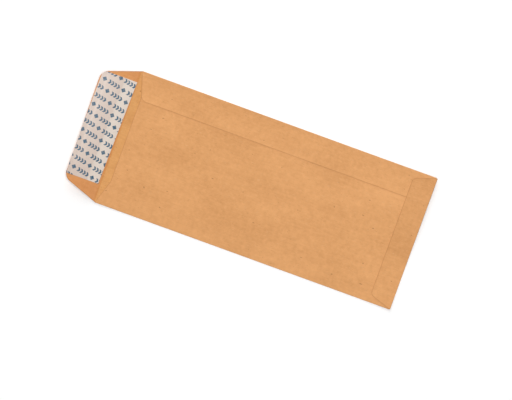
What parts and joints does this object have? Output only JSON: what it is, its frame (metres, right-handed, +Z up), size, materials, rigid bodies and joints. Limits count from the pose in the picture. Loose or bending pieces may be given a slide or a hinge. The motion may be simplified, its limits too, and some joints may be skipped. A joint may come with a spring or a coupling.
{
  "type": "paper envelope",
  "caption": "Long kraft paper pocket envelope, lying open: one folded sheet with a seamed back, a glued bottom flap and a tapered closure flap with a peel-off adhesive strip.",
  "frame": {"origin": "centre of the front panel's outer face, midway between the crease of the closure flap and the closed end, and midway between the two side folds", "axes": "+X along the envelope towards the closed end, so the mouth and the closure flap are at -X; +Y across it towards the narrow side flap; +Z up from the front face to the seamed back"},
  "size_m": [0.256, 0.1016, 0.0061],
  "materials": {
    "kraft_paper": "matte",
    "dried_gum": "matte",
    "adhesive": "satin",
    "liner_paper": "satin"
  },
  "bodies": {
    "root": {"kraft_sheet": "kraft_paper", "side_seam_gum": "dried_gum", "bottom_seam_gum": "dried_gum", "flap_adhesive": "adhesive", "release_liner": "liner_paper"}
  },
  "joints": []
}
